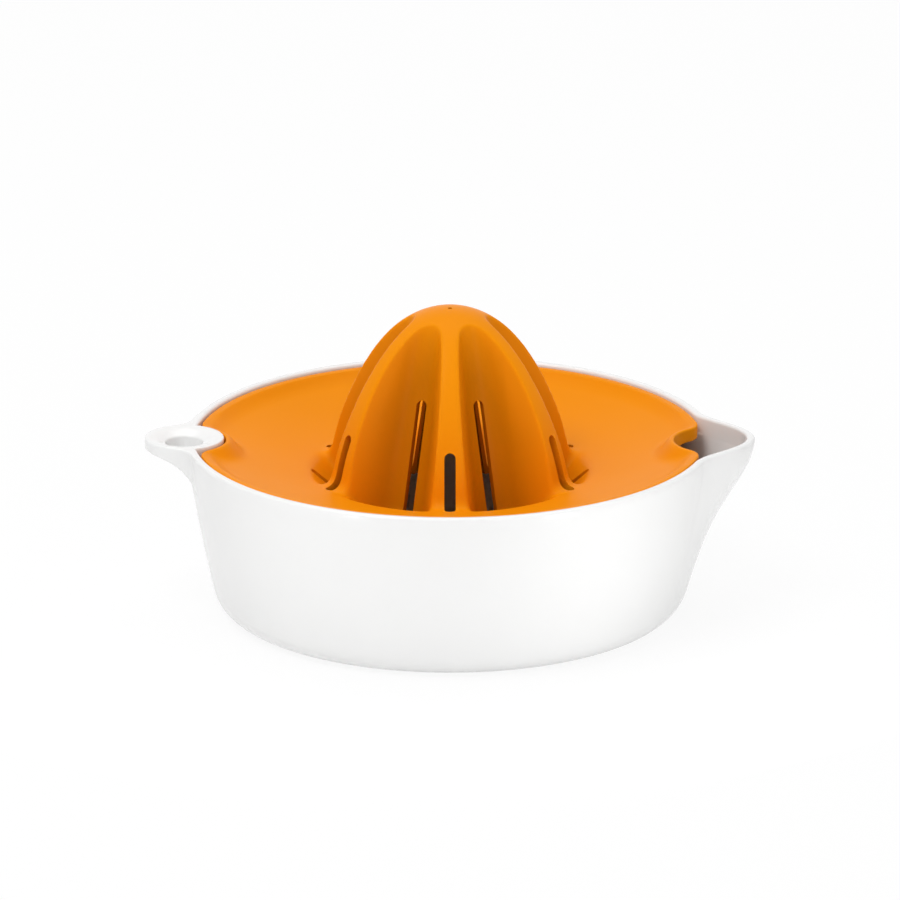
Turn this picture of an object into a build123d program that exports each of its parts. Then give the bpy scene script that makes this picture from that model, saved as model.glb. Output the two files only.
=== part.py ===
from build123d import *
import os
from math import asin, atan, cos, degrees, radians, sin, tan

os.makedirs("parts", exist_ok=True)

# All sizes are in millimetres. The bowl stands on z = 0 with its axis on Z,
# the pouring spout points along +X and the hanging ring along -X.

# Bowl
bowl_height = 53.6
rim_radius = 80.0
wall = 2.6
wall_lean = 0.126
wall_bow = 0.0012
base_round = 9.0
base_thickness = 2.6
base_recess = 1.0
foot_width = 4.0
floor_bevel = 4.0

# Pouring spout, with flanks at an angle to its centre line
spout_reach = 12.2
spout_flank = 48.0
spout_tip_round = 13.8
spout_root_round = 25.0
spout_rise = 15.6

# Hanging ring, the web round its hole and the tower that lets the hole pass the wall
ring_reach = 12.2
ring_radius = 12.0
ring_tip_thickness = 3.5
ring_under_radius = 17.0
ring_under_start = 0.7
ring_side_blend = 9.0
hang_hole_radius = 5.6
funnel_radius = 9.6
funnel_depth = 1.8
web_thickness = 4.2
tower_foot_radius = 2.0
recess_end_radius = 1.4

# Fit of the insert in the bowl
insert_gap = 0.6
lip_drop = 0.8
lip_height = 4.3
step_width = 2.5

# Insert: dish and lip
notch_corner = 7.0
lip_crest = 2.4
lip_slope = 50.0
lip_step = 2.5
insert_wall = 1.9
dish_fall = 6.3

# Insert: cone, flutes and straining slots
cone_rise = 41.0
cone_radius = 40.5
crest_bands = 6
vent_radius = 0.7
rib_count = 6
flute_half_angle = 45.0
flute_round = 4.0
flute_lean = 15.8
flute_top_radius = 9.6
well_depth = 17.5
well_slope = 41.0
well_radius = 42.0
slot_width = 3.4
slot_reach = 43.0
slot_start = 5.0
rib_slot_rise = 6.0
flute_slot_rise = 16.0

# Cutting tools run past the material by this much, and turned solids start at this angle
past = 3.0
seam_angle = 30.0

# Places that follow from the sizes
ring_x = ring_radius - rim_radius - ring_reach
ring_depth = ring_tip_thickness + ring_under_radius
spout_depth = bowl_height - spout_rise
floor_height = base_recess + base_thickness
lip_top = bowl_height - lip_drop
seat_height = lip_top - lip_height
dish_edge = lip_top - lip_step
dish_foot = dish_edge - dish_fall
cone_top = bowl_height + cone_rise
insert_low = bowl_height - well_depth - 2 * insert_wall


# Upright plane through the axis, turned from the spout by an angle
def upright_plane(angle):
    turn = radians(angle)
    return Plane(origin=(0, 0, 0), x_dir=(cos(turn), sin(turn), 0), z_dir=(sin(turn), -cos(turn), 0))


seam = upright_plane(seam_angle)


# The wall bows gently, and is made of straight bands that follow the bow
def wall_radius(depth):
    return rim_radius - wall_lean * depth - wall_bow * depth * depth


bend_depth = ring_depth + past
top_lean = (rim_radius - wall_radius(bend_depth)) / bend_depth
foot_radius = wall_radius(bowl_height - base_round) - base_round
base_turn = radians(45)


# The spout's keel leans back from the rim until it meets the wall
keel = Vector((wall_radius(spout_depth) - rim_radius - spout_reach) / spout_depth, 0, -1)
keel_length = (spout_depth + past) * keel.length
keel_plane = Plane(
    origin=(rim_radius + spout_reach, 0, bowl_height),
    x_dir=(1, 0, keel.X),
    z_dir=keel,
)


# How far beyond the spout's tip its two flanks would meet
def spout_apex(inset):
    return (spout_tip_round - inset) / sin(radians(spout_flank)) - spout_tip_round


# Spout along its keel, at the outside of its wall or one wall further in
def spout_body(inset, height):
    apex = spout_apex(inset)
    half = rim_radius / 2 * tan(radians(spout_flank))
    with BuildPart() as body:
        with BuildSketch(keel_plane) as outline:
            with BuildLine():
                Polyline((apex, 0), (apex - rim_radius / 2, half), (apex - rim_radius / 2, -half), close=True)
            make_face()
            fillet(outline.vertices().sort_by(Axis.X)[-1], spout_tip_round - inset)
        extrude(amount=keel_length)
        extrude(outline.sketch, amount=-rim_radius / 2)
        split(bisect_by=Plane.XY.offset(height), keep=Keep.BOTTOM)
    return body.part


# Edges on both sides of the spout where it leaves the wall
def spout_roots(edges):
    return edges.filter_by(GeomType.ELLIPSE).filter_by(lambda e: abs(e.center().Y) > past)


# Bowl with its spout, still solid
with BuildPart() as bowl_form:
    with BuildSketch(seam):
        with BuildLine():
            Polyline(
                (rim_radius, bowl_height),
                (wall_radius(bend_depth), bowl_height - bend_depth),
                (wall_radius(bowl_height - base_round), base_round),
                (foot_radius + base_round * sin(base_turn), base_round * (1 - cos(base_turn))),
                (foot_radius, 0),
                (0, 0),
                (0, bowl_height),
                close=True,
            )
        make_face()
    revolve(axis=Axis.Z)
    add(spout_body(0, bowl_height))
    fillet(spout_roots(bowl_form.edges(Select.NEW)), spout_root_round)

# Room below the hanging ring, bounded by the bowl's own wall
under_x = ring_x - ring_radius + ring_under_start
under_z = bowl_height - ring_tip_thickness
with BuildPart() as ring_under:
    with BuildSketch(Plane.XZ):
        with BuildLine():
            under_arc = CenterArc((under_x, under_z - ring_under_radius), ring_under_radius, 0, 90)
            Polyline(
                under_arc @ 1,
                (under_x - rim_radius, under_z),
                (under_x - rim_radius, under_z - ring_depth),
                (under_x + ring_under_radius, under_z - ring_depth),
                under_arc @ 0,
            )
        make_face()
    extrude(amount=rim_radius, both=True)
    add(bowl_form.part, mode=Mode.SUBTRACT)

# Bowl and ring together, still solid
with BuildPart() as bowl_outer:
    add(bowl_form.part)
    with BuildSketch(Plane.XY.offset(bowl_height)):
        with Locations((ring_x, 0)):
            Circle(ring_radius)
    extrude(amount=-ring_depth)
    corners = bowl_outer.edges(Select.NEW).filter_by(GeomType.BSPLINE)
    corners = corners.filter_by(lambda e: abs(e.center().Y) > ring_radius / 2)
    fillet(corners, ring_side_blend)
    add(ring_under.part, mode=Mode.SUBTRACT)

# Step that carries the insert, left open as far as the flanks of the spout's hollow reach
flank_reach = (rim_radius + spout_reach + spout_apex(wall)) / (rim_radius - wall)
step_opening = degrees(asin(flank_reach * sin(radians(spout_flank)))) - spout_flank
seat_radius = rim_radius - wall - top_lean * (bowl_height - seat_height)
step_radius = seat_radius - step_width
step_foot = seat_height - step_width / top_lean
with BuildPart() as step:
    with BuildSketch(upright_plane(step_opening)):
        Polygon(
            (step_radius, seat_height),
            (rim_radius, seat_height),
            (rim_radius, step_foot - past),
            (step_radius, step_foot - past),
            align=None,
        )
    revolve(axis=Axis.Z, revolution_arc=360 - 2 * step_opening)

# Space inside the bowl: the turned hollow with the hollow of the spout, less the step
# and the tower below the ring
tower_depth = bowl_height - floor_height
tower_draft = (ring_radius - tower_foot_radius) / tower_depth
with BuildPart() as cavity:
    with BuildSketch(seam):
        with BuildLine():
            Polyline(
                (rim_radius - wall + top_lean * past, bowl_height + past),
                (wall_radius(bend_depth) - wall, bowl_height - bend_depth),
                (wall_radius(tower_depth) - wall, floor_height),
                (0, floor_height),
                (0, bowl_height + past),
                close=True,
            )
        make_face()
    revolve(axis=Axis.Z)
    chamfer(cavity.edges().group_by(Axis.Z)[0], floor_bevel)
    add(spout_body(wall, bowl_height + past))
    fillet(spout_roots(cavity.edges(Select.NEW)), spout_root_round + wall)
    add(step.part, mode=Mode.SUBTRACT)
    with Locations((ring_x, 0, bowl_height + past - (tower_depth + past) / 2)):
        Cone(tower_foot_radius, ring_radius + tower_draft * past, tower_depth + past, mode=Mode.SUBTRACT)

# Finished bowl
recess_depth = funnel_depth + web_thickness
recess_length = (ring_radius - wall - recess_end_radius) / tower_draft - recess_depth
with BuildPart() as bowl:
    add(bowl_outer.part)
    add(cavity.part, mode=Mode.SUBTRACT)
    with Locations((ring_x, 0, bowl_height - funnel_depth / 2)):
        Cone(hang_hole_radius, funnel_radius, funnel_depth, mode=Mode.SUBTRACT)
    with BuildSketch(Plane.XY.offset(bowl_height)):
        with Locations((ring_x, 0)):
            Circle(hang_hole_radius)
    extrude(amount=-recess_depth, mode=Mode.SUBTRACT)
    with BuildSketch(Plane.XY.offset(bowl_height - recess_depth)):
        with Locations((ring_x, 0)):
            Circle(ring_radius - wall - tower_draft * recess_depth)
    extrude(amount=-recess_length, taper=degrees(atan(tower_draft)), mode=Mode.SUBTRACT)
    with BuildSketch(Plane.XY):
        Circle(foot_radius - foot_width)
    extrude(amount=base_recess, mode=Mode.SUBTRACT)
bowl.part.label = "bowl"
export_step(bowl.part, "parts/bowl.step")

# Insert seen from above, with a notch at the ring and a like one at the spout
insert_radius = rim_radius - top_lean * lip_drop - wall - insert_gap
notch_radius = ring_radius + insert_gap
with BuildSketch(Plane.XY.offset(lip_top)) as insert_outline:
    Circle(insert_radius)
    with Locations((ring_x, 0), (-ring_x, 0)):
        Circle(notch_radius, mode=Mode.SUBTRACT)
    fillet(insert_outline.vertices().filter_by(lambda v: abs(v.Y) > notch_radius / 2), notch_corner)


# Crest of the ribs from the tip down: a parabola, followed by straight bands
def crest(top, radius, foot):
    shares = [band / crest_bands for band in range(crest_bands + 1)]
    return [(radius * share, top - (top - foot) * share ** 2) for share in shares]


# Upper side of the insert as a turned solid
lip_inner = insert_radius - lip_crest
dish_radius = lip_inner - lip_step * tan(radians(lip_slope))
with BuildPart() as insert_upper:
    with BuildSketch(seam):
        with BuildLine():
            Polyline(
                *crest(cone_top, cone_radius, dish_foot),
                (dish_radius, dish_edge),
                (lip_inner, lip_top),
                (rim_radius, lip_top),
                (rim_radius, insert_low),
                (0, insert_low),
                close=True,
            )
        make_face()
    revolve(axis=Axis.Z)

# Lip where it runs round the two notches
lip_length = lip_top - insert_low
lip_foot_radius = notch_radius + lip_crest + lip_length * tan(radians(lip_slope))
with BuildPart() as notch_lip:
    with Locations((ring_x, 0, lip_top - lip_length / 2), (-ring_x, 0, lip_top - lip_length / 2)):
        Cone(lip_foot_radius, notch_radius + lip_crest, lip_length)
    with Locations((0, 0, lip_top)):
        Cylinder(well_radius + past, 4 * lip_length, mode=Mode.SUBTRACT)

# Everything inside the outline, and the room for the cone above it
with BuildPart() as insert_trim:
    add(insert_outline.sketch)
    extrude(amount=-lip_length, taper=degrees(atan(top_lean)))
    with BuildSketch(Plane.XY.offset(lip_top)):
        Circle(well_radius + past)
    extrude(amount=cone_rise + past)

# One flute: a leaning round-bottomed V that ends in a well above the dish floor
flute_top_height = cone_top - (cone_top - dish_foot) * (flute_top_radius / cone_radius) ** 2
flute_plane = Plane(
    origin=(flute_top_radius, 0, flute_top_height),
    x_dir=(cos(radians(flute_lean)), 0, sin(radians(flute_lean))),
    z_dir=(-sin(radians(flute_lean)), 0, cos(radians(flute_lean))),
)


def flute_tool(grow):
    half = radians(flute_half_angle)
    bend = flute_round + grow
    touch_x = bend * (1 - sin(half)) - grow
    touch_y = bend * cos(half)
    open_y = touch_y + (rim_radius - touch_x) * tan(half)
    rise = tan(radians(well_slope))
    well_edge = dish_foot - grow / cos(radians(well_slope))
    well_floor = bowl_height - well_depth - grow
    with BuildPart() as tool:
        with BuildSketch(flute_plane):
            with BuildLine():
                Polyline((touch_x, -touch_y), (rim_radius, -open_y), (rim_radius, open_y), (touch_x, touch_y))
                ThreePointArc((touch_x, touch_y), (-grow, 0), (touch_x, -touch_y))
            make_face()
        extrude(amount=cone_top, both=True)
        with BuildSketch(Plane.YZ):
            with BuildLine():
                Polyline(
                    (0, well_floor),
                    (well_radius - (well_edge - well_floor) / rise, well_floor),
                    (well_radius + 2 * past, well_edge + 2 * past * rise),
                    (well_radius + 2 * past, cone_top + past),
                    (0, cone_top + past),
                    close=True,
                )
            make_face()
        revolve(axis=Axis.Z, mode=Mode.INTERSECT)
    return tool.part


# One straining slot, with a round top in the cone and a round end in the dish
def slot_tool(rise):
    slot_round = slot_width / 2
    top = bowl_height + rise - slot_round
    with BuildPart() as tool:
        with BuildSketch(Plane.YZ.offset(slot_start)):
            with Locations((0, (insert_low + top) / 2)):
                Rectangle(slot_width, top - insert_low)
            with Locations((0, top)):
                Circle(slot_round)
        extrude(amount=slot_reach - slot_round - slot_start)
        with BuildSketch(Plane.XY.offset(insert_low)):
            with Locations((slot_reach - slot_round, 0)):
                Circle(slot_round)
        extrude(amount=dish_foot + past - insert_low)
    return tool.part


flute = flute_tool(0)
flute_back = flute_tool(insert_wall)
flute_slot = slot_tool(flute_slot_rise)
rib_slot = slot_tool(rib_slot_rise)

# Hollow under the insert, which follows the upper side one wall lower
cone_tilt = atan(cone_radius / (2 * (cone_top - dish_foot)))
hollow_radius = cone_radius - insert_wall / cos(cone_tilt)
with BuildPart() as insert_hollow:
    with BuildSketch(seam):
        with BuildLine():
            Polyline(
                *crest(cone_top - insert_wall, hollow_radius, dish_foot - insert_wall),
                (dish_radius, seat_height),
                (rim_radius + past, seat_height),
                (rim_radius + past, insert_low - past),
                (0, insert_low - past),
                close=True,
            )
        make_face()
    revolve(axis=Axis.Z)
    for turn in range(rib_count):
        with Locations(Rotation(0, 0, turn * 360 / rib_count)):
            add(flute_back, mode=Mode.SUBTRACT)

# Finished insert
with BuildPart() as reamer_insert:
    add(insert_upper.part)
    for turn in range(rib_count):
        with Locations(Rotation(0, 0, turn * 360 / rib_count)):
            add(flute, mode=Mode.SUBTRACT)
    add(notch_lip.part)
    add(insert_trim.part, mode=Mode.INTERSECT)
    add(insert_hollow.part, mode=Mode.SUBTRACT)
    with PolarLocations(0, rib_count):
        add(flute_slot, mode=Mode.SUBTRACT)
    with PolarLocations(0, rib_count, start_angle=180 / rib_count):
        add(rib_slot, mode=Mode.SUBTRACT)
    with Locations((0, 0, cone_top)):
        Cylinder(vent_radius, 4 * insert_wall, mode=Mode.SUBTRACT)
reamer_insert.part.label = "reamer_insert"
export_step(reamer_insert.part, "parts/reamer_insert.step")
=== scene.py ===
from math import acos, atan, atan2, cos, degrees, hypot, pi, radians, sin, sqrt, tan

import bmesh
import bpy
from mathutils import Matrix, Vector


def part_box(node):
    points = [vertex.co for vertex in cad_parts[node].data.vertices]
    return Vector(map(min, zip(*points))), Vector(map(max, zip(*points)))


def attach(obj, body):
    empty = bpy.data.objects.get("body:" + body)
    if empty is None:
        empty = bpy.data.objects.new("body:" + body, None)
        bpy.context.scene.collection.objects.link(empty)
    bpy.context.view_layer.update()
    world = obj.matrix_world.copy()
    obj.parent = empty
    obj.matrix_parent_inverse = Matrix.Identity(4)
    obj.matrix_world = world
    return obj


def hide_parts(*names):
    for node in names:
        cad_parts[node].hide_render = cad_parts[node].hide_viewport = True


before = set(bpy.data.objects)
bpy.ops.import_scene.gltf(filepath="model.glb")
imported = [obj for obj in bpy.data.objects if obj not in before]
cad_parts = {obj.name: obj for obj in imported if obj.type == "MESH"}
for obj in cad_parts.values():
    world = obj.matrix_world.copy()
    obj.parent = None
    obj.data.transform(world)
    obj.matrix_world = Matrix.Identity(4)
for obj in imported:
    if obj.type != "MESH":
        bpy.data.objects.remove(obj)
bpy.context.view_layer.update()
print("frame loaded:", sorted(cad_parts))

# Meshes are modelled in millimetres and brought to metres when they are finished
millimetre = 0.001
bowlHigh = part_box("bowl")[1] / millimetre
rimRadius = bowlHigh.y
rimHeight = bowlHigh.z
toolRoom = 5.0  # how far a cutting tool reaches past the piece
mergeDistance = 1e-4
smoothShare = 0.5


def arcPoints(centreX, centreY, radius, start, end, count):
    turns = [radians(start + (end - start) * i / count) for i in range(count + 1)]
    return [(centreX + radius * cos(turn), centreY + radius * sin(turn)) for turn in turns]


def blendPoints(before, corner, after, count):  # a soft corner between two straight runs
    shares = [i / count for i in range(count + 1)]
    return [
        tuple((1 - s) ** 2 * a + 2 * s * (1 - s) * b + s ** 2 * c for a, b, c in zip(before, corner, after))
        for s in shares
    ]


def between(first, last, share):
    return tuple(a + (b - a) * share for a, b in zip(first, last))


def toObject(bm, name):
    mesh = bpy.data.meshes.new(name)
    bm.to_mesh(mesh)
    bm.free()
    piece = bpy.data.objects.new(name, mesh)
    bpy.context.scene.collection.objects.link(piece)
    return piece


def turned(name, profile, steps, centre=(0.0, 0.0), closed=False):  # a lathe piece about a vertical axis
    bm = bmesh.new()
    verts = [bm.verts.new((centre[0] + radius, centre[1], height)) for radius, height in profile]
    edges = [bm.edges.new(pair) for pair in zip(verts, verts[1:])]
    if closed:
        edges.append(bm.edges.new((verts[-1], verts[0])))
    bmesh.ops.spin(
        bm,
        geom=verts + edges,
        cent=(centre[0], centre[1], 0),
        axis=(0, 0, 1),
        dvec=(0, 0, 0),
        angle=2 * pi,
        steps=steps,
        use_merge=True,
    )
    bmesh.ops.remove_doubles(bm, verts=bm.verts[:], dist=mergeDistance)
    bmesh.ops.recalc_face_normals(bm, faces=bm.faces[:])
    return toObject(bm, name)


def prism(name, outline, low, high, place=None):  # an outline drawn out straight, then put in its place
    bm = bmesh.new()
    face = bm.faces.new([bm.verts.new((x, y, low)) for x, y in outline])
    drawn = bmesh.ops.extrude_face_region(bm, geom=[face])["geom"]
    top = [item for item in drawn if isinstance(item, bmesh.types.BMVert)]
    bmesh.ops.translate(bm, verts=top, vec=(0, 0, high - low))
    if place:
        bmesh.ops.transform(bm, matrix=place, verts=bm.verts[:])
    bmesh.ops.recalc_face_normals(bm, faces=bm.faces[:])
    return toObject(bm, name)


def stacked(name, outlines, place=None):  # a solid through outlines with like numbers of points
    bm = bmesh.new()
    layer = [bm.verts.new(point) for point in outlines[0]]
    face = bm.faces.new(layer)
    for outline in outlines[1:]:
        drawn = bmesh.ops.extrude_face_region(bm, geom=[face] + face.edges[:])["geom"]
        face = next(item for item in drawn if isinstance(item, bmesh.types.BMFace))
        copies = {tuple(vert.co): vert for vert in face.verts}
        layer = [copies[tuple(vert.co)] for vert in layer]
        for vert, point in zip(layer, outline):
            vert.co = point
    if place:
        bmesh.ops.transform(bm, matrix=place, verts=bm.verts[:])
    bmesh.ops.recalc_face_normals(bm, faces=bm.faces[:])
    return toObject(bm, name)


def settle(piece):  # makes the modifiers part of the mesh
    bpy.context.view_layer.update()
    shaped = piece.evaluated_get(bpy.context.evaluated_depsgraph_get())
    mesh = bpy.data.meshes.new_from_object(shaped)
    piece.modifiers.clear()
    old = piece.data
    piece.data = mesh
    bpy.data.meshes.remove(old)
    return piece


def combine(piece, tools, operation):
    for tool in tools:
        step = piece.modifiers.new(tool.name, "BOOLEAN")
        step.solver = "MANIFOLD"
        step.operation = operation
        step.object = tool
    settle(piece)
    for tool in tools:
        bpy.data.objects.remove(tool)
    return piece


def soften(piece, voxel, rounds, triangles):  # rounds every edge the way a mould does
    remesh = piece.modifiers.new("voxels", "REMESH")
    remesh.mode = "VOXEL"
    remesh.voxel_size = voxel
    smooth = piece.modifiers.new("rounding", "SMOOTH")
    smooth.factor = smoothShare
    smooth.iterations = rounds
    settle(piece)
    share = triangles / (2 * len(piece.data.polygons))
    if share < 1:
        thin = piece.modifiers.new("thinning", "DECIMATE")
        thin.ratio = share
        settle(piece)
    print(piece.name, "softened to", len(piece.data.polygons), "faces")
    return piece


def finishMesh(piece, material, smoothAngle):
    bm = bmesh.new()
    bm.from_mesh(piece.data)
    for face in bm.faces:
        face.smooth = True
        face.material_index = 0
    for edge in bm.edges:
        edge.smooth = edge.calc_face_angle(0.0) < radians(smoothAngle)
    bmesh.ops.scale(bm, vec=(millimetre,) * 3, verts=bm.verts[:])
    bm.to_mesh(piece.data)
    bm.free()
    piece.data.materials.clear()
    piece.data.materials.append(material)


# White bowl

bowlSet = {
    "wall": 2.6,
    "lean": 0.126,
    "bow": 0.0012,
    "rimRound": 1.0,
    "baseRound": 9.0,
    "floorRound": 5.0,
    "floorHeight": 3.6,
    "footWidth": 4.0,
    "footRise": 1.0,
    "footCurve": ((-0.3, 0.7), (0.0, 0.3), (0.4, 0.0)),
    "seatDepth": 5.1,
    "stepWidth": 2.5,
    "stepEdge": 0.5,
    "stepLowest": 25.0,
    "stepAbove": 0.1,
    "stepInward": 1.0,
    "stepOutward": 0.02,
    "spoutReach": bowlHigh.x - rimRadius,
    "spoutHalfAngle": 18.0,
    "spoutHalfDepth": 20.5,
    "spoutFall": 2.65,
    "spoutStepOpen": 13.0,
    "steps": 480,
    "baseSteps": 12,
    "outerSteps": 26,
    "rimSteps": 5,
    "seatSteps": 4,
    "edgeSteps": 3,
    "lowerSteps": 14,
    "floorSteps": 8,
    "crease": 38,
}

ringSet = {
    "reach": bowlHigh.x - rimRadius,
    "radius": 12.0,
    "sideBlend": 9.0,
    "tipThickness": 3.5,
    "underRadius": 17.0,
    "underStart": 0.7,
    "holeRadius": 5.6,
    "funnelRadius": 9.6,
    "funnelDepth": 1.8,
    "funnelEdge": 1.4,
    "web": 4.2,
    "draft": 0.2,
    "bossDepth": 5.0,
    "underRun": 20.0,
    "underHalfWidth": 60.0,
    "throatEdge": 0.5,
    "recessEdge": 0.8,
    "mouthRoom": 2.0,
    "webRoom": 1.0,
    "towerTop": 2.0,
    "towerInset": 0.05,
    "towerSink": 0.5,
    "layers": 12,
    "overlap": 4.0,
    "sink": 0.03,
    "cornerSteps": 14,
    "hiddenSteps": 4,
    "buriedSteps": 16,
    "underSteps": 24,
    "mouthSteps": 6,
    "throatSteps": 4,
    "wallSteps": 30,
    "steps": 96,
    "holeSteps": 144,
    "outsideSteps": 240,
    "voxel": 0.35,
    "rounding": 14,
    "triangles": 60000,
}


def wallRadius(depth):
    return rimRadius - bowlSet["lean"] * depth - bowlSet["bow"] * depth ** 2


def wallRun(first, last, inset, count):  # the wall's bow between two depths
    depths = [first + (last - first) * i / count for i in range(count + 1)]
    return [(wallRadius(depth) - inset, rimHeight - depth) for depth in depths]


def sideFade(angle):  # 1 at the spout's middle, 0 at its sides
    return (1 + cos(pi * min(abs(angle) / bowlSet["spoutHalfAngle"], 1.0))) / 2


def keelFade(depth):  # 1 at the rim, 0 at the foot
    share = 1 / (1 + (depth / bowlSet["spoutHalfDepth"]) ** bowlSet["spoutFall"])
    least = 1 / (1 + (rimHeight / bowlSet["spoutHalfDepth"]) ** bowlSet["spoutFall"])
    return (share - least) / (1 - least)


def bowlProfile():
    s = bowlSet
    slope = atan(s["lean"] + 2 * s["bow"] * rimHeight)
    baseTop = s["baseRound"] * (1 - sin(slope))
    footRadius = wallRadius(rimHeight - baseTop) - s["baseRound"] * cos(slope)
    recess = footRadius - s["footWidth"]
    foot = [(0, s["footRise"]), (recess - s["footRise"], s["footRise"])]
    foot += [(recess + run, share * s["footRise"]) for run, share in s["footCurve"]]
    base = arcPoints(footRadius, s["baseRound"], s["baseRound"], -90, -degrees(slope), s["baseSteps"])
    outer = wallRun(rimHeight - baseTop, s["rimRound"], 0, s["outerSteps"])[1:]
    r = s["rimRound"]
    crest = arcPoints(wallRadius(r) - r, rimHeight - r, r, 0, 90, s["rimSteps"])[1:]
    inner = wallRadius(r) - s["wall"]
    crest += arcPoints(inner + r, rimHeight - r, r, 90, 180, s["rimSteps"])
    inside = wallRun(r, s["seatDepth"], s["wall"], s["seatSteps"])[1:]
    seat = inside[-1]
    stepRadius = seat[0] - s["stepWidth"]
    edge = s["stepEdge"]
    onSeat = (stepRadius + edge, seat[1])
    belowSeat = (stepRadius, seat[1] - edge)
    step = blendPoints(onSeat, (stepRadius, seat[1]), belowSeat, s["edgeSteps"])
    lean, bow = s["lean"], s["bow"]
    spare = rimRadius - s["wall"] - stepRadius
    stepFoot = (sqrt(lean ** 2 + 4 * bow * spare) - lean) / (2 * bow)
    floorTop = rimHeight - s["floorHeight"] - s["floorRound"] * (1 - sin(slope))
    lower = wallRun(stepFoot, floorTop, s["wall"], s["lowerSteps"])
    floorCentre = lower[-1][0] - s["floorRound"] * cos(slope)
    rise = s["floorHeight"] + s["floorRound"]
    floor = arcPoints(floorCentre, rise, s["floorRound"], -degrees(slope), -90, s["floorSteps"])[1:]
    return foot + base + outer + crest + inside + step + lower + floor + [(0, s["floorHeight"])]


def shapeSpout(piece):  # draws the wall out to the spout and opens the step there
    s = bowlSet
    bm = bmesh.new()
    bm.from_mesh(piece.data)
    for vert in bm.verts:
        angle = degrees(atan2(vert.co.y, vert.co.x))
        depth = max(rimHeight - vert.co.z, 0.0)
        if abs(angle) > s["spoutHalfAngle"]:
            continue
        radius = hypot(vert.co.x, vert.co.y)
        inner = wallRadius(depth) - s["wall"]
        onStep = s["seatDepth"] - s["stepAbove"] < depth < s["stepLowest"]
        stepInside = inner - s["stepWidth"] - s["stepInward"]
        if onStep and stepInside < radius < inner - s["stepOutward"]:
            past = max(abs(angle) - s["spoutStepOpen"], 0.0)
            room = s["spoutHalfAngle"] - s["spoutStepOpen"]
            radius += (inner - radius) * max(1 - past / room, 0.0)
        elif radius < inner - s["floorRound"]:
            continue
        radius += s["spoutReach"] * sideFade(angle) * keelFade(depth)
        vert.co.x = radius * cos(radians(angle))
        vert.co.y = radius * sin(radians(angle))
    bm.to_mesh(piece.data)
    bm.free()


# A small circle let into a big one with soft corners
def flareOutline(big, small, centre, flare, outward, count):
    reach = big + flare if outward else big - flare
    apart = small + flare
    turn = acos((centre ** 2 + reach ** 2 - apart ** 2) / (2 * centre * reach))
    soft = (reach * cos(turn), reach * sin(turn))
    toSmall = degrees(atan2(-soft[1], centre - soft[0]))
    fromBig = degrees(turn) - 180 if outward else degrees(turn)
    corner = arcPoints(soft[0], soft[1], flare, fromBig, toSmall, count)
    start = degrees(atan2(soft[1], soft[0] - centre))
    end = -start if outward else 360 - start
    middle = arcPoints(centre, 0, small, start, end, 4 * count)
    other = [(x, -y) for x, y in reversed(corner)]
    return corner + middle[1:-1] + other


def mirrored(outline):
    return [(-x, y) for x, y in outline]


def ringOutline(centre, depth):  # the ring seen from above, at a depth below the rim
    s = ringSet
    wall = wallRadius(depth)
    outline = flareOutline(wall, s["radius"], centre, s["sideBlend"], True, s["cornerSteps"])
    side = degrees(atan2(-outline[-1][1], outline[-1][0]))
    past = side + s["overlap"]
    hidden = arcPoints(0, 0, wall - s["sink"], -side, -past, s["hiddenSteps"])[1:]
    buried = arcPoints(0, 0, wall - bowlSet["wall"] / 2, -past, past, s["buriedSteps"])
    otherSide = [(x, -y) for x, y in reversed(hidden)]
    return mirrored(outline + hidden + buried + otherSide)


def hangingRing():
    s = ringSet
    centre = rimRadius + s["reach"] - s["radius"]
    depth = s["tipThickness"] + s["underRadius"]
    layers = [depth * i / s["layers"] for i in range(s["layers"] + 1)]
    ring = stacked("ring", [[(x, y, rimHeight - d) for x, y in ringOutline(centre, d)] for d in layers])
    bossFoot = rimHeight - s["bossDepth"]
    boss = [(0, rimHeight), (s["radius"], rimHeight), (s["radius"], bossFoot), (0, bossFoot)]
    combine(ring, [turned("boss", boss, s["steps"], (-centre, 0))], "UNION")
    tip = -centre - s["radius"] + s["underStart"]
    low = rimHeight - depth
    away = tip - s["underRun"]
    under = arcPoints(tip, low, s["underRadius"], 90, 0, s["underSteps"])
    under += [(tip + s["underRadius"], low - toolRoom), (away, low - toolRoom)]
    under.append((away, rimHeight - s["tipThickness"]))
    upright = Matrix.Rotation(radians(90), 4, "X")
    half = s["underHalfWidth"]
    combine(ring, [prism("under", under, -half, half, upright)], "DIFFERENCE")
    return soften(ring, s["voxel"], s["rounding"], s["triangles"]), centre


def holeTools(centre):
    s = ringSet
    edge = s["funnelEdge"]
    lip = rimHeight - s["funnelDepth"]
    low = lip - s["web"]
    slope = atan(s["funnelDepth"] / (s["funnelRadius"] - s["holeRadius"]))
    onFunnel = (s["funnelRadius"] - edge * cos(slope), rimHeight - edge * sin(slope))
    wide = s["funnelRadius"] + edge
    hole = s["holeRadius"]
    mouth = blendPoints((wide, rimHeight), (s["funnelRadius"], rimHeight), onFunnel, s["mouthSteps"])
    bend = s["throatEdge"]
    above = (hole + bend, lip + bend * tan(slope))
    throat = blendPoints(above, (hole, lip), (hole, lip - bend), s["throatSteps"])
    funnel = [(0, rimHeight + s["mouthRoom"]), (wide, rimHeight + s["mouthRoom"])] + mouth + throat
    funnel += [(hole, low - s["webRoom"]), (0, low - s["webRoom"])]
    back = s["radius"] - bowlSet["wall"] - s["draft"] * (rimHeight - low)
    deep = 2 * s["underRadius"]
    recess = [(0, low), (back - s["recessEdge"], low), (back, low - s["recessEdge"])]
    recess += [(back - s["draft"] * deep, low - deep), (0, low - deep)]
    place = (-centre, 0)
    return [turned("funnel", funnel, s["holeSteps"], place), turned("recess", recess, s["steps"], place)]


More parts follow.
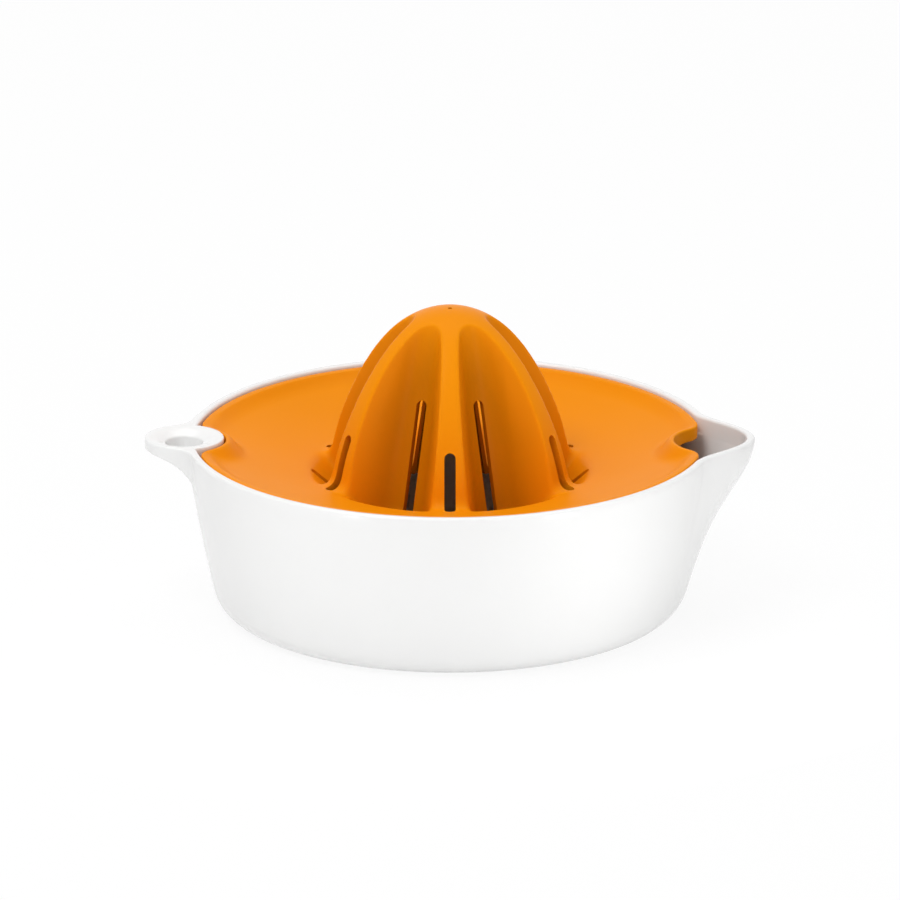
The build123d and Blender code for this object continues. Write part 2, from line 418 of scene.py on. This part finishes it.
def makeBowl():
    s = ringSet
    bowl = turned("bowlMoulding", bowlProfile(), bowlSet["steps"])
    shapeSpout(bowl)
    ring, centre = hangingRing()
    depth = rimHeight - bowlSet["floorHeight"] + s["towerSink"]
    top = rimHeight - s["towerTop"]
    topRadius = s["radius"] - s["towerInset"] - s["towerTop"] * s["draft"]
    tower = [(0, top), (topRadius, top)]
    tower += [(s["radius"] - s["draft"] * depth, rimHeight - depth), (0, rimHeight - depth)]
    far = 2 * rimRadius
    outside = wallRun(0, rimHeight, bowlSet["wall"] / 2, s["wallSteps"]) + [(far, 0), (far, rimHeight)]
    tower = turned("tower", tower, s["steps"], (-centre, 0))
    combine(tower, [turned("outside", outside, s["outsideSteps"], closed=True)], "DIFFERENCE")
    combine(bowl, [ring, tower], "UNION")
    combine(bowl, holeTools(centre), "DIFFERENCE")
    print("bowl:", len(bowl.data.polygons), "faces")
    return bowl


# Orange insert

insertSet = {
    "gap": 0.6,
    "lipDrop": 0.8,
    "lipHeight": 4.3,
    "lipCrest": 2.4,
    "lipSlope": 50.0,
    "lipStep": 2.5,
    "notchCorner": 7.0,
    "notchCrest": 1.3,
    "notchSlope": 41.0,
    "wall": 1.9,
    "dishFall": 7.2,
    "dishSag": 0.6,
    "coneRise": 40.65,
    "coneRadius": 39.3,
    "crestFullness": 1.35,
    "crestRound": 0.476,
    "ventRadius": 0.7,
    "ribs": 6,
    "fluteHalfAngle": 38.5,
    "fluteRound": 5.5,
    "fluteGrowth": 0.065,
    "fluteLean": 15.0,
    "fluteTop": 10.4,
    "fluteAbove": 14.0,
    "wellDepth": 17.5,
    "wellSlope": 41.0,
    "wellRadius": 41.8,
    "wellVoxel": 0.7,
    "wellRounding": 22,
    "scoopBand": (36.5, 40.5, 48.0, 56.0),
    "notchBand": (13.5, 15.5, 24.0, 28.0),
    "easing": 90,
    # depth below the ribs' line at which the painted shade in the flutes is full
    "shadeDepth": 12.0,
    "slotWidth": 3.4,
    "ribSlotReach": 43.0,
    "fluteSlotReach": 42.0,
    "slotStart": 5.0,
    "ribSlotRise": 6.0,
    "fluteSlotRise": 16.0,
    "steps": 360,
    "voxel": 0.45,
    "rounding": 4,
    "triangles": 185000,
    "starTriangles": 400000,
    "crestSteps": 48,
    "dishSteps": 30,
    "footSpan": 7,
    "dishSpan": 3,
    "footSteps": 8,
    "lipBlend": 0.7,
    "lipSteps": 6,
    "blankRoom": 4.0,
    "hollowCrestSteps": 40,
    "hollowDishSteps": 20,
    "hollowRoom": 10.0,
    "fluteSteps": 20,
    "wellRun": 8.0,
    "wellEdge": 3.0,
    "wellBlend": 0.3,
    "wellSteps": 8,
    "easeAbove": 1.0,
    "slotRoom": 3.0,
    "slotSteps": 16,
    "discSteps": 32,
    "notchSteps": 12,
    "notchRun": 8.0,
    "notchLipSteps": 180,
    "notchLipRoom": 4.0,
    "ventSteps": 24,
    "ventReach": 6.0,
    "crease": 60,
}
lipTop = rimHeight - insertSet["lipDrop"]
seatHeight = lipTop - insertSet["lipHeight"]
dishEdge = lipTop - insertSet["lipStep"]
dishFoot = dishEdge - insertSet["dishFall"]
coneTop = rimHeight + insertSet["coneRise"]
insertRadius = wallRadius(insertSet["lipDrop"]) - bowlSet["wall"] - insertSet["gap"]
lipInner = insertRadius - insertSet["lipCrest"]
dishRadius = lipInner - insertSet["lipStep"] * tan(radians(insertSet["lipSlope"]))
insertBottom = rimHeight - insertSet["wellDepth"] - 2 * insertSet["wall"]
notchCentre = rimRadius + ringSet["reach"] - ringSet["radius"]


def crestHeight(share):  # the ribs' line, from 1 at the top to 0 at the foot
    s = insertSet
    return (1 - share ** (1 / s["crestRound"])) ** (1 / s["crestFullness"])


def crestPoints(top, foot, radius, count):
    shares = [sin(pi / 2 * i / count) for i in range(count)] + [1.0]
    return [(radius * share, foot + (top - foot) * crestHeight(share)) for share in shares]


def dishPoints(first, last, sag, count):  # a run that hangs by its sag in the middle
    points = []
    for i in range(count + 1):
        share = i / count
        radius, height = between(first, last, share)
        points.append((radius, height - 4 * sag * share * (1 - share)))
    return points


def upperProfile():
    s = insertSet
    crest = crestPoints(coneTop, dishFoot, s["coneRadius"], s["crestSteps"])
    dish = dishPoints((s["coneRadius"], dishFoot), (dishRadius, dishEdge), s["dishSag"], s["dishSteps"])
    up, out = s["footSpan"], s["dishSpan"]
    foot = blendPoints(crest[-up], crest[-1], dish[out], s["footSteps"])
    slopeTop = (lipInner, lipTop)
    lip = blendPoints(dish[-out], dish[-1], between(dish[-1], slopeTop, s["lipBlend"]), s["lipSteps"])
    outside = insertRadius + s["blankRoom"]
    blank = [slopeTop, (outside, lipTop), (outside, insertBottom), (0, insertBottom)]
    return crest[:-up] + foot + dish[out + 1:-out] + lip + blank


def hollowProfile():
    s = insertSet
    tilt = atan(s["coneRadius"] / (2 * (coneTop - dishFoot)))
    radius = s["coneRadius"] - s["wall"] / cos(tilt)
    crest = crestPoints(coneTop - s["wall"], dishFoot - s["wall"], radius, s["hollowCrestSteps"])
    dish = dishPoints(crest[-1], (dishRadius, seatHeight), s["dishSag"], s["hollowDishSteps"])
    far = insertRadius + s["hollowRoom"]
    below = insertBottom - toolRoom
    return crest + dish[1:] + [(far, seatHeight), (far, below), (0, below)]


def fluteOutline(along, grow):  # a round-bottomed V, rounder the further down the flute
    s = insertSet
    half = s["fluteHalfAngle"]
    bend = s["fluteRound"] - s["fluteGrowth"] * along + grow
    curve = arcPoints(bend - grow, 0, bend, 90 + half, 270 - half, s["fluteSteps"])
    far = rimRadius
    wide = curve[0][1] + (far - curve[0][0]) * tan(radians(half))
    return [(x, y, along) for x, y in [(far, wide)] + curve + [(far, -wide)]]


def fluteStar(name, grow):  # six leaning flutes, each ending in a well
    s = insertSet
    height = dishFoot + (coneTop - dishFoot) * crestHeight(s["fluteTop"] / s["coneRadius"])
    start = Matrix.Translation((s["fluteTop"], 0, height))
    lean = start @ Matrix.Rotation(-radians(s["fluteLean"]), 4, "Y")
    turns = [Matrix.Rotation(2 * pi * i / s["ribs"], 4, "Z") for i in range(s["ribs"])]
    outlines = [fluteOutline(along, grow) for along in (s["fluteAbove"], -coneTop)]
    cuts = [stacked(name, outlines, turn @ lean) for turn in turns]
    rise = tan(radians(s["wellSlope"]))
    edge = dishFoot - grow / cos(radians(s["wellSlope"]))
    floor = rimHeight - s["wellDepth"] - grow
    corner = (s["wellRadius"] - (edge - floor) / rise, floor)
    far = (s["wellRadius"] + s["wellRun"], edge + s["wellRun"] * rise)
    onSlope = between(corner, far, s["wellBlend"])
    well = [(0, floor)]
    well += blendPoints((corner[0] - s["wellEdge"], floor), corner, onSlope, s["wellSteps"])
    well += [far, (far[0], coneTop + toolRoom), (0, coneTop + toolRoom)]
    star = combine(cuts[0], cuts[1:], "UNION")
    star = combine(star, [turned("well", well, s["steps"])], "INTERSECT")
    return soften(star, s["wellVoxel"], s["wellRounding"], s["starTriangles"])


def bandShare(place, band):  # 0 outside a band, 1 in its middle, with soft ends
    first, full, last, end = band
    return max(min((place - first) / (full - first), (end - place) / (end - last), 1.0), 0.0)


def easeDish(insert):  # lets the wells and the lips at the notches run softly into the dish
    s = insertSet
    remesh = insert.modifiers.new("voxels", "REMESH")
    remesh.mode = "VOXEL"
    remesh.voxel_size = s["voxel"]
    settle(insert)
    soft = insert.vertex_groups.new(name="soft")
    for vert in insert.data.vertices:
        x, y, z = vert.co
        scoop = bandShare(hypot(x, y), s["scoopBand"])
        lip = bandShare(hypot(abs(x) - notchCentre, y), s["notchBand"])
        if max(scoop, lip) > 0 and z > insertBottom + s["easeAbove"]:
            soft.add([vert.index], max(scoop, lip), "REPLACE")
    smooth = insert.modifiers.new("easing", "SMOOTH")
    smooth.factor = smoothShare
    smooth.iterations = s["easing"]
    smooth.vertex_group = soft.name
    settle(insert)
    insert.vertex_groups.clear()


def slotTools():
    s = insertSet
    half = s["slotWidth"] / 2
    low = insertBottom - s["slotRoom"]
    tools = []
    for i in range(2 * s["ribs"]):
        kind = "ribSlot" if i % 2 else "fluteSlot"
        end = s[kind + "Reach"] - half
        top = rimHeight + s[kind + "Rise"] - half
        upright = [(half, low)] + arcPoints(0, top, half, 0, 180, s["slotSteps"]) + [(-half, low)]
        turn = Matrix.Rotation(pi * i / s["ribs"], 4, "Z")
        stand = turn @ Matrix.Rotation(radians(90), 4, "Z") @ Matrix.Rotation(radians(90), 4, "X")
        slot = prism("slot", upright, s["slotStart"], end, stand)
        disc = arcPoints(end, 0, half, 0, 360, s["discSteps"])[:-1]
        slotEnd = prism("slotEnd", disc, low, dishFoot + s["slotRoom"], turn)
        tools.append(combine(slot, [slotEnd], "UNION"))
    return tools


def notchTools():
    s = insertSet
    radius = ringSet["radius"] + s["gap"]
    outline = flareOutline(insertRadius, radius, notchCentre, s["notchCorner"], False, s["notchSteps"])
    edge = Vector(outline[0])
    beyond = edge.normalized() * (insertRadius + s["notchRun"])
    outline = [(beyond.x, beyond.y)] + outline + [(beyond.x, -beyond.y)]
    low, high = insertBottom - toolRoom, lipTop + toolRoom
    return [prism("notch", shape, low, high) for shape in (outline, mirrored(outline))]


def notchLips():  # raised lips that slope from the notches into the dish
    s = insertSet
    crest = ringSet["radius"] + s["gap"] + s["notchCrest"]
    foot = crest + (lipTop - insertBottom) * tan(radians(s["notchSlope"]))
    cone = [(0, lipTop), (crest, lipTop), (foot, insertBottom), (0, insertBottom)]
    wide = s["wellRadius"] + s["notchLipRoom"]
    low, high = insertBottom - toolRoom, lipTop + toolRoom
    room = [(0, high), (wide, high), (wide, low), (0, low)]
    count = s["notchLipSteps"]
    lips = [turned("notchLip", cone, count, (side * notchCentre, 0)) for side in (1, -1)]
    return [combine(lip, [turned("room", room, count)], "DIFFERENCE") for lip in lips]


def makeInsert():
    s = insertSet
    insert = turned("reamerMoulding", upperProfile(), s["steps"])
    combine(insert, [fluteStar("flute", 0)], "DIFFERENCE")
    combine(insert, notchLips(), "UNION")
    easeDish(insert)
    taper = bowlSet["lean"] * s["lipHeight"]
    low, high = insertBottom - toolRoom, lipTop + toolRoom
    ring = [(insertRadius, high), (insertRadius, lipTop), (insertRadius - taper, seatHeight)]
    far = 2 * rimRadius
    ring += [(insertRadius - taper, low), (far, low), (far, high)]
    combine(insert, [turned("outside", ring, s["steps"], closed=True)] + notchTools(), "DIFFERENCE")
    hollow = turned("hollow", hollowProfile(), s["steps"])
    combine(hollow, [fluteStar("fluteBack", s["wall"])], "DIFFERENCE")
    combine(insert, [hollow], "DIFFERENCE")
    soften(insert, s["voxel"], s["rounding"], s["triangles"])
    disc = arcPoints(0, 0, s["ventRadius"], 0, 360, s["ventSteps"])[:-1]
    vent = prism("vent", disc, coneTop - s["ventReach"], coneTop + s["ventReach"])
    combine(insert, slotTools() + [vent], "DIFFERENCE")
    print("insert:", len(insert.data.polygons), "faces")
    return insert


def paintFluteShade(insert):  # painted shade: how far each point lies below the ribs' line, from 0 to 1; the material darkens the orange by it in the flutes and wells
    s = insertSet
    values = []
    for vert in insert.data.vertices:
        x, y, z = vert.co / millimetre
        rise = min(max((z - dishFoot) / (coneTop - dishFoot), 0.0), 1.0)
        crest = s["coneRadius"] * (1 - rise ** s["crestFullness"]) ** s["crestRound"]
        depth = crest - hypot(x, y) + max(dishFoot - z, 0.0) / 2
        values.append(min(max(depth / s["shadeDepth"], 0.0), 1.0))
    # the "hollow" attribute carries the painted shade for the flutes and wells
    hollow = insert.data.attributes.new("hollow", "FLOAT", "POINT")
    hollow.data.foreach_set("value", values)


# Finishes


def newMaterial(name):
    material = bpy.data.materials.new(name)
    material.use_nodes = True
    return material, material.node_tree.nodes, material.node_tree.links


def addNoise(nodes, links, place, scale, detail):
    noise = nodes.new("ShaderNodeTexNoise")
    noise.inputs["Scale"].default_value = scale
    noise.inputs["Detail"].default_value = detail
    links.new(place.outputs["Object"], noise.inputs["Vector"])
    return noise


def addMix(nodes, links, factor, second):  # a colour mix whose first colour is set by the caller
    mix = nodes.new("ShaderNodeMix")
    mix.data_type = "RGBA"
    mix.inputs["B"].default_value = second
    links.new(factor, mix.inputs["Factor"])
    return mix


def addRoughness(nodes, links, noise, limits):
    rough = nodes.new("ShaderNodeMapRange")
    rough.inputs["To Min"].default_value, rough.inputs["To Max"].default_value = limits
    links.new(noise.outputs["Fac"], rough.inputs["Value"])
    links.new(rough.outputs["Result"], nodes["Principled BSDF"].inputs["Roughness"])


def addBump(nodes, links, noise, distance, strength):
    bump = nodes.new("ShaderNodeBump")
    bump.inputs["Distance"].default_value = distance
    bump.inputs["Strength"].default_value = strength
    links.new(noise.outputs["Fac"], bump.inputs["Height"])
    links.new(bump.outputs["Normal"], nodes["Principled BSDF"].inputs["Normal"])


def addLarger(nodes, links, first, second):
    larger = nodes.new("ShaderNodeMath")
    larger.operation = "MAXIMUM"
    links.new(first, larger.inputs[0])
    links.new(second, larger.inputs[1])
    return larger.outputs["Value"]


glossSet = {
    "colour": (0.875, 0.875, 0.87, 1),
    "shade": (0.845, 0.845, 0.84, 1),
    "cloud": (14, 3),
    "handling": (60, 6),
    "roughness": (0.16, 0.24),
    "ripple": 0.00002,
    "rippleStrength": 0.3,
    "refraction": 1.49,
}


def whiteGloss():
    s = glossSet
    material, nodes, links = newMaterial("whiteGloss")
    shader = nodes["Principled BSDF"]
    place = nodes.new("ShaderNodeTexCoord")
    cloud = addNoise(nodes, links, place, *s["cloud"])
    tint = addMix(nodes, links, cloud.outputs["Fac"], s["shade"])
    tint.inputs["A"].default_value = s["colour"]
    links.new(tint.outputs["Result"], shader.inputs["Base Color"])
    handling = addNoise(nodes, links, place, *s["handling"])
    addRoughness(nodes, links, handling, s["roughness"])
    addBump(nodes, links, handling, s["ripple"], s["rippleStrength"])
    shader.inputs["IOR"].default_value = s["refraction"]
    return material


satinSet = {
    "colour": (0.89, 0.287, 0.003, 1),
    "shade": (0.85, 0.268, 0.002, 1),
    # edge: a lighter orange on sharp edges, partly wear and partly painted highlight
    "edge": (0.95, 0.34, 0.006, 1),
    # deep: painted shade, the darker orange laid into the flutes and wells
    "deep": (0.58, 0.19, 0.001, 1),
    "cloud": (22, 4),
    "edgeRange": (0.52, 0.62),
    "roughness": (0.32, 0.42),
    "fineNoise": (1800, 2),
    "grain": 0.00003,
    "grainStrength": 0.25,
    "refraction": 1.47,
    "specular": 0.04,
}


def orangeSatin():
    s = satinSet
    material, nodes, links = newMaterial("orangeSatin")
    shader = nodes["Principled BSDF"]
    place = nodes.new("ShaderNodeTexCoord")
    cloud = addNoise(nodes, links, place, *s["cloud"])
    tint = addMix(nodes, links, cloud.outputs["Fac"], s["shade"])
    tint.inputs["A"].default_value = s["colour"]
    # lighter edges by pointiness: partly wear, partly a painted highlight on the rib edges
    shape = nodes.new("ShaderNodeNewGeometry")
    wearAndHighlight = nodes.new("ShaderNodeMapRange")
    wearAndHighlight.inputs["From Min"].default_value, wearAndHighlight.inputs["From Max"].default_value = s["edgeRange"]
    links.new(shape.outputs["Pointiness"], wearAndHighlight.inputs["Value"])
    edged = addMix(nodes, links, wearAndHighlight.outputs["Result"], s["edge"])
    links.new(tint.outputs["Result"], edged.inputs["A"])
    # painted shade: the hollow attribute darkens the orange towards the deep colour in the flutes and wells
    hollow = nodes.new("ShaderNodeAttribute")
    hollow.attribute_name = "hollow"
    deep = addMix(nodes, links, hollow.outputs["Fac"], s["deep"])
    links.new(edged.outputs["Result"], deep.inputs["A"])
    links.new(deep.outputs["Result"], shader.inputs["Base Color"])
    addRoughness(nodes, links, cloud, s["roughness"])
    grain = addNoise(nodes, links, place, *s["fineNoise"])
    addBump(nodes, links, grain, s["grain"], s["grainStrength"])
    shader.inputs["IOR"].default_value = s["refraction"]
    shader.inputs["Specular IOR Level"].default_value = s["specular"]
    return material


bowlPiece = makeBowl()
finishMesh(bowlPiece, whiteGloss(), bowlSet["crease"])
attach(bowlPiece, "bowl")
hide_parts("bowl")

insertPiece = makeInsert()
finishMesh(insertPiece, orangeSatin(), insertSet["crease"])
# paints shade into the flutes and wells as a point attribute
paintFluteShade(insertPiece)
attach(insertPiece, "insert")
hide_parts("reamer_insert")
print("pieces ready")


# Stage: floor, light and camera

stageSet = {
    "floorGap": 0.0002,
    "floorSize": 6.0,
    "floorColour": (0.94, 0.94, 0.94, 1),
    "floorRoughness": 0.9,
    "floorShow": 0.9,
    "worldLight": 0.47,
    "viewElevation": 18.0,
    "viewDistance": 6.0,
    "frameWidth": 0.2717,
    "aimBelowRim": 0.0041,
    "viewEnd": 50,
    "white": (1, 1, 1, 1),
}


def makeFloor():
    s = stageSet
    bm = bmesh.new()
    bmesh.ops.create_grid(bm, x_segments=1, y_segments=1, size=s["floorSize"] / 2)
    bmesh.ops.translate(bm, vec=(0, 0, -s["floorGap"]), verts=bm.verts[:])
    floor = toObject(bm, "floor")
    material, nodes, links = newMaterial("paleFloor")
    nodes["Principled BSDF"].inputs["Base Color"].default_value = s["floorColour"]
    nodes["Principled BSDF"].inputs["Roughness"].default_value = s["floorRoughness"]
    path = nodes.new("ShaderNodeLightPath")
    glow = nodes.new("ShaderNodeEmission")
    seen = nodes.new("ShaderNodeMath")
    seen.operation = "MULTIPLY"
    seen.inputs[1].default_value = s["floorShow"]
    either = addLarger(nodes, links, path.outputs["Is Camera Ray"], path.outputs["Is Glossy Ray"])
    links.new(either, seen.inputs[0])
    mix = nodes.new("ShaderNodeMixShader")
    links.new(seen.outputs["Value"], mix.inputs["Fac"])
    links.new(nodes["Principled BSDF"].outputs["BSDF"], mix.inputs[1])
    links.new(glow.outputs["Emission"], mix.inputs[2])
    links.new(mix.outputs["Shader"], nodes["Material Output"].inputs["Surface"])
    floor.data.materials.append(material)


def makeWorld():
    world = bpy.data.worlds.new("studio")
    bpy.context.scene.world = world
    world.use_nodes = True
    nodes, links = world.node_tree.nodes, world.node_tree.links
    light = nodes["Background"]
    light.inputs["Color"].default_value = stageSet["white"]
    light.inputs["Strength"].default_value = stageSet["worldLight"]
    white = nodes.new("ShaderNodeBackground")
    white.inputs["Color"].default_value = stageSet["white"]
    white.inputs["Strength"].default_value = 1.0
    path = nodes.new("ShaderNodeLightPath")
    seen = addLarger(nodes, links, path.outputs["Is Camera Ray"], path.outputs["Is Glossy Ray"])
    seen = addLarger(nodes, links, seen, path.outputs["Is Transmission Ray"])
    mix = nodes.new("ShaderNodeMixShader")
    links.new(seen, mix.inputs["Fac"])
    links.new(light.outputs["Background"], mix.inputs[1])
    links.new(white.outputs["Background"], mix.inputs[2])
    links.new(mix.outputs["Shader"], nodes["World Output"].inputs["Surface"])


lampSet = {
    "keyBox": {"place": (-0.6, -0.6, 1.5), "size": (0.8, 0.8), "power": 10.0, "aim": 0.054},
    "fillBox": {"place": (0.7, -1.5, 0.35), "size": (0.4, 0.6), "power": 2.5, "aim": 0.054},
    "topBox": {"place": (0.0, 0.4, 1.6), "size": (1.4, 1.0), "power": 8.5, "aim": 0.054},
    "leftStrip": {"place": (-0.105, -0.155, 0.035), "size": (0.02, 0.06), "power": 0.015, "aim": 0.03},
    "rightStrip": {"place": (0.11, -0.14, 0.035), "size": (0.02, 0.06), "power": 0.028, "aim": 0.03},
}


def makeLamps():
    for name, lamp in lampSet.items():
        light = bpy.data.lights.new(name, "AREA")
        light.shape = "RECTANGLE"
        light.size, light.size_y = lamp["size"]
        light.energy = lamp["power"]
        holder = bpy.data.objects.new(name, light)
        bpy.context.scene.collection.objects.link(holder)
        holder.location = lamp["place"]
        aim = Vector((0, 0, lamp["aim"])) - holder.location
        holder.rotation_euler = aim.to_track_quat("-Z", "Y").to_euler()


def makeCamera():
    s = stageSet
    lift = radians(s["viewElevation"])
    back = Vector((0, -cos(lift), sin(lift)))
    up = Vector((0, sin(lift), cos(lift)))
    aim = Vector((0, 0, rimHeight * millimetre)) - up * s["aimBelowRim"]
    camera = bpy.data.cameras.new("photoCamera")
    camera.lens = camera.sensor_width * s["viewDistance"] / s["frameWidth"]
    camera.clip_end = s["viewEnd"]
    holder = bpy.data.objects.new("photoCamera", camera)
    bpy.context.scene.collection.objects.link(holder)
    holder.location = aim + back * s["viewDistance"]
    holder.rotation_euler = (-back).to_track_quat("-Z", "Y").to_euler()
    bpy.context.scene.camera = holder


makeFloor()
makeWorld()
makeLamps()
makeCamera()
bpy.context.scene.view_settings.view_transform = "Standard"
print("stage ready")
